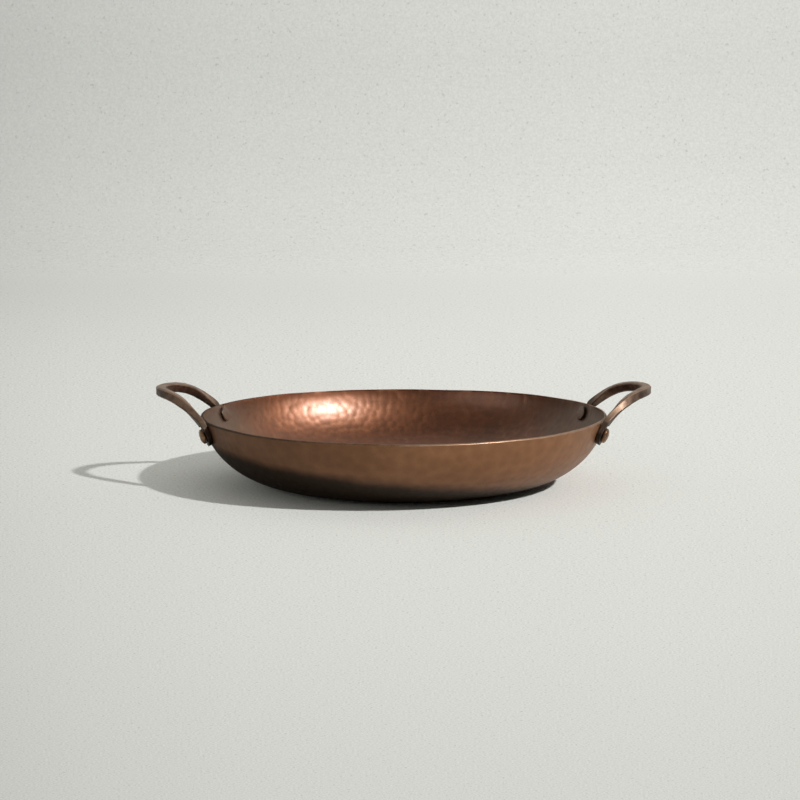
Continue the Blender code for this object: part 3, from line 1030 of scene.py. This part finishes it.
def make_sweep(settings):
    """Floor that curves up behind the pan into a backdrop."""
    half_width = 7.0
    front, bend, radius, top = -7.0, 2.6, 1.9, 3.4
    profile = [(front, 0.0), (bend, 0.0)]
    for angle in np.radians(np.linspace(0, 90, 33)[1:]):
        profile.append((bend + radius * math.sin(angle), radius - radius * math.cos(angle)))
    profile.append((bend + radius, top))
    bm = bmesh.new()
    rows = [[bm.verts.new((x, y, z)) for x in (-half_width, half_width)] for y, z in profile]
    for (a, b), (c, d) in zip(rows, rows[1:]):
        bm.faces.new((a, b, d, c))
    mesh = bpy.data.meshes.new("studio_sweep")
    bm.to_mesh(mesh)
    bm.free()
    mesh.shade_smooth()
    mesh.materials.append(floor_material(settings))
    sweep = bpy.data.objects.new("studio_sweep", mesh)
    bpy.context.scene.collection.objects.link(sweep)


def make_key(settings):
    lamp = bpy.data.lights.new("key", "SUN")
    lamp.energy = settings.key_strength
    lamp.angle = KEY_ANGLE
    lamp.color = (1.0, 0.985, 0.96)
    key = bpy.data.objects.new("key", lamp)
    direction = Vector(KEY_DIRECTION).normalized()
    key.rotation_euler = direction.to_track_quat("Z", "Y").to_euler()
    key.location = direction * 3
    bpy.context.scene.collection.objects.link(key)


def make_world(settings):
    """Dim room, brighter behind, with one broad soft box to the left in front."""
    world = bpy.data.worlds.new("studio")
    world.use_nodes = True
    tree = world.node_tree
    background = tree.nodes["Background"]
    x, y, height = axes(tree, coordinates(tree, "Generated"))
    upper = times(tree, soft_range(tree, height, 0.0, 0.35), settings.room_middle - settings.room_low)
    upper = plus(tree, upper, settings.room_low)
    higher = times(tree, soft_range(tree, height, 0.4, 0.75), settings.room_high - settings.room_middle)
    upper = plus(tree, upper, higher)
    behind = times(tree, soft_range(tree, y, 0.0, 0.5), soft_range(tree, height, 0.1, 0.5))
    upper = plus(tree, upper, times(tree, behind, settings.room_behind))
    around = math_node(tree, "ARCTAN2", x, times(tree, y, -1.0))
    glow = settings.soft_box_strength
    for value, edges in ((around, SOFT_BOX_SIDES), (height, SOFT_BOX_ENDS)):
        start, full, fading, end = (math.radians(edge) for edge in edges)
        if value is height:
            start, full, fading, end = (math.sin(edge) for edge in (start, full, fading, end))
        glow = times(tree, glow, soft_range(tree, value, start, full))
        glow = times(tree, glow, soft_range(tree, value, end, fading))
    total = plus(tree, upper, glow)
    tree.links.new(total, background.inputs["Strength"])
    background.inputs["Color"].default_value = (1.0, 0.965, 0.89, 1)
    bpy.context.scene.world = world


def make_camera():
    data = bpy.data.cameras.new("photo_camera")
    data.lens = CAMERA_LENS
    data.sensor_width = SENSOR_WIDTH
    data.clip_start = 0.01
    data.clip_end = 60
    camera = bpy.data.objects.new("photo_camera", data)
    bpy.context.scene.collection.objects.link(camera)
    tilt = Matrix.Rotation(math.radians(90) - CAMERA_PITCH, 4, "X")
    turn = Matrix.Rotation(-CAMERA_YAW, 4, "Z")
    roll = Matrix.Rotation(CAMERA_ROLL, 4, "Z")
    camera.matrix_world = Matrix.Translation(CAMERA_PLACE) @ turn @ tilt @ roll
    bpy.context.scene.camera = camera


# Settings

def length_property(label, help_text, value, low, high):
    return bpy.props.FloatProperty(
        name=label, description=help_text, default=value, min=low, max=high,
        unit="LENGTH", precision=5,
    )


def colour_property(label, help_text, value):
    return bpy.props.FloatVectorProperty(
        name=label, description=help_text, default=value, min=0, max=1,
        size=3, subtype="COLOR",
    )


def strength_property(label, help_text, value, high):
    return bpy.props.FloatProperty(
        name=label, description=help_text, default=value, min=0, max=high,
    )


class RoastingPanSizes(bpy.types.PropertyGroup):
    inside_spacing: length_property(
        "Inside Spacing", "Distance between hammer marks in the bowl", 0.0068, 0.003, 0.03,
    )
    inside_stretch: bpy.props.FloatProperty(
        name="Inside Stretch", description="How much longer the marks in the bowl are up the wall",
        default=1.35, min=1, max=3,
    )
    inside_depth: length_property(
        "Inside Depth", "Depth of the hammer marks in the bowl", 0.00026, 0, 0.001,
    )
    outside_spacing: length_property(
        "Outside Spacing", "Distance between hammer marks outside", 0.0105, 0.003, 0.03,
    )
    outside_depth: length_property("Outside Depth", "Depth of the hammer marks outside", 0.00004, 0, 0.001)
    facet_length: length_property(
        "Facet Length", "Length of the forged facets on the handles", 0.0105, 0.003, 0.03,
    )
    facet_depth: length_property(
        "Facet Depth", "Depth of the forged facets on the handles", 0.00038, 0, 0.001,
    )
    peen_depth: length_property("Peen Depth", "Depth of the marks on the rivet heads", 0.00012, 0, 0.0005)


class RoastingPanColours(bpy.types.PropertyGroup):
    inside_dark: colour_property("Inside Dark", "Thick seasoning in the bowl", (0.17, 0.055, 0.018))
    inside_light: colour_property("Inside Light", "Thin seasoning in the bowl", (0.36, 0.125, 0.045))
    inside_ridge: colour_property("Inside Ridge", "Rubbed ridges in the bowl", (0.46, 0.22, 0.12))
    outside_dark: colour_property("Outside Dark", "Thick seasoning outside", (0.22, 0.100, 0.046))
    outside_light: colour_property("Outside Light", "Thin seasoning outside", (0.36, 0.172, 0.084))
    outside_ridge: colour_property("Outside Ridge", "Rubbed ridges outside", (0.44, 0.24, 0.13))
    bare_edge: colour_property("Bare Edge", "Steel rubbed bare at the rim", (0.50, 0.33, 0.23))
    handle_dark: colour_property("Handle Dark", "Thick seasoning on the handles", (0.082, 0.047, 0.031))
    handle_light: colour_property("Handle Light", "Thin seasoning on the handles", (0.42, 0.275, 0.19))
    handle_ridge: colour_property("Handle Ridge", "Rubbed ridges on the handles", (0.52, 0.36, 0.27))
    rivet_light: colour_property("Rivet Light", "Thin seasoning on the rivet heads", (0.42, 0.215, 0.10))
    # Colour of the painted shade low on the outside, on the feet and round the inner rivet heads
    painted_shade: colour_property("Painted Shade", "Seasoning burnt dark by the flame", (0.021, 0.013, 0.007))
    # Colour of the painted reflection greying the bowl near the handles
    grey_ends: colour_property("Grey Ends", "Greyer seasoning near the handles", (0.17, 0.135, 0.08))


class RoastingPanStage(bpy.types.PropertyGroup):
    floor_colour: colour_property("Floor", "Floor and backdrop colour", (0.971, 0.997, 0.976))
    shadow_lift: strength_property(
        "Shadow Lift", "How far the floor's shadow is lifted away from the pan", 0.38, 1,
    )
    key_strength: strength_property("Key Strength", "Strength of the key lamp", 2.95, 20)
    room_low: strength_property("Room Low", "Room light near the ground", 0.035, 2)
    room_middle: strength_property("Room Middle", "Room light at half height", 0.115, 2)
    room_high: strength_property("Room High", "Room light overhead", 0.075, 2)
    room_behind: strength_property("Room Behind", "More room light from behind and above", 0.40, 2)
    soft_box_strength: strength_property("Soft Box", "Strength of the soft box on the left", 0.8, 5)


# Operators

SIDES = (("right", 0.0), ("left", math.pi))


class ROASTER_OT_bowl(bpy.types.Operator):
    """Raises the hammered bowl over the CAD pan"""

    bl_idname = "roaster.bowl"
    bl_label = "Hammered Bowl"

    def execute(self, context):
        scene = context.scene
        colours = scene.roaster_colours
        mesh = make_bowl(scene.roaster_sizes)
        names = ("inside_seasoning", "outside_seasoning", "rim_edge")
        finishes = [steel_material(name, colours) for name in names]
        add_piece("hammered_bowl", mesh, ["pan"], finishes)
        return {"FINISHED"}


class ROASTER_OT_handles(bpy.types.Operator):
    """Forges the two loop handles"""

    bl_idname = "roaster.handles"
    bl_label = "Forged Handles"

    def execute(self, context):
        scene = context.scene
        finish = steel_material("forged_handle", scene.roaster_colours)
        for seed, (side, turn) in enumerate(SIDES):
            mesh = make_handle(scene.roaster_sizes, turn, 40 + seed)
            add_piece(f"forged_handle_{side}", mesh, [f"handle_{side}"], [finish])
        return {"FINISHED"}


class ROASTER_OT_rivets(bpy.types.Operator):
    """Sets the four rivets, peened on both heads"""

    bl_idname = "roaster.rivets"
    bl_label = "Peened Rivets"

    def execute(self, context):
        scene = context.scene
        colours = scene.roaster_colours
        names = ("peened_rivet", "inside_seasoning")
        finishes = [steel_material(name, colours) for name in names]
        for side, turn in SIDES:
            for end in ("front", "back"):
                toward_front = (end == "front") == (side == "right")
                seed = 70 + 2 * (side == "left") + (end == "back")
                mesh = make_rivet(scene.roaster_sizes, turn, toward_front, seed)
                name = f"rivet_{side}_{end}"
                add_piece(f"peened_{name}", mesh, [name], finishes)
        return {"FINISHED"}


class ROASTER_OT_stage(bpy.types.Operator):
    """Sets up the pale sweep, the lamps and the camera"""

    bl_idname = "roaster.stage"
    bl_label = "Pale Stage"

    def execute(self, context):
        settings = context.scene.roaster_stage
        make_sweep(settings)
        make_key(settings)
        make_world(settings)
        make_camera()
        context.scene.view_settings.view_transform = "Standard"
        return {"FINISHED"}


OPERATORS = (ROASTER_OT_bowl, ROASTER_OT_handles, ROASTER_OT_rivets, ROASTER_OT_stage)


class ROASTER_PT_panel(bpy.types.Panel):
    """Sizes, colours and steps of the roasting pan"""

    bl_label = "Roasting Pan"
    bl_idname = "ROASTER_PT_panel"
    bl_space_type = "VIEW_3D"
    bl_region_type = "UI"
    bl_category = "Roasting Pan"

    def draw(self, context):
        scene = context.scene
        for settings in (scene.roaster_sizes, scene.roaster_colours, scene.roaster_stage):
            box = self.layout.box()
            for key in settings.__annotations__:
                box.prop(settings, key)
        for operator in OPERATORS:
            self.layout.operator(operator.bl_idname)


SETTINGS = (
    ("roaster_sizes", RoastingPanSizes),
    ("roaster_colours", RoastingPanColours),
    ("roaster_stage", RoastingPanStage),
)


def register():
    for _, group in SETTINGS:
        bpy.utils.register_class(group)
    for key, group in SETTINGS:
        setattr(bpy.types.Scene, key, bpy.props.PointerProperty(type=group))
    for item in (*OPERATORS, ROASTER_PT_panel):
        bpy.utils.register_class(item)


def unregister():
    for item in reversed((*OPERATORS, ROASTER_PT_panel)):
        bpy.utils.unregister_class(item)
    for key, group in reversed(SETTINGS):
        delattr(bpy.types.Scene, key)
        bpy.utils.unregister_class(group)


def main():
    register()
    bpy.ops.roaster.bowl()
    bpy.ops.roaster.handles()
    bpy.ops.roaster.rivets()
    bpy.ops.roaster.stage()


if __name__ == "__main__":
    main()
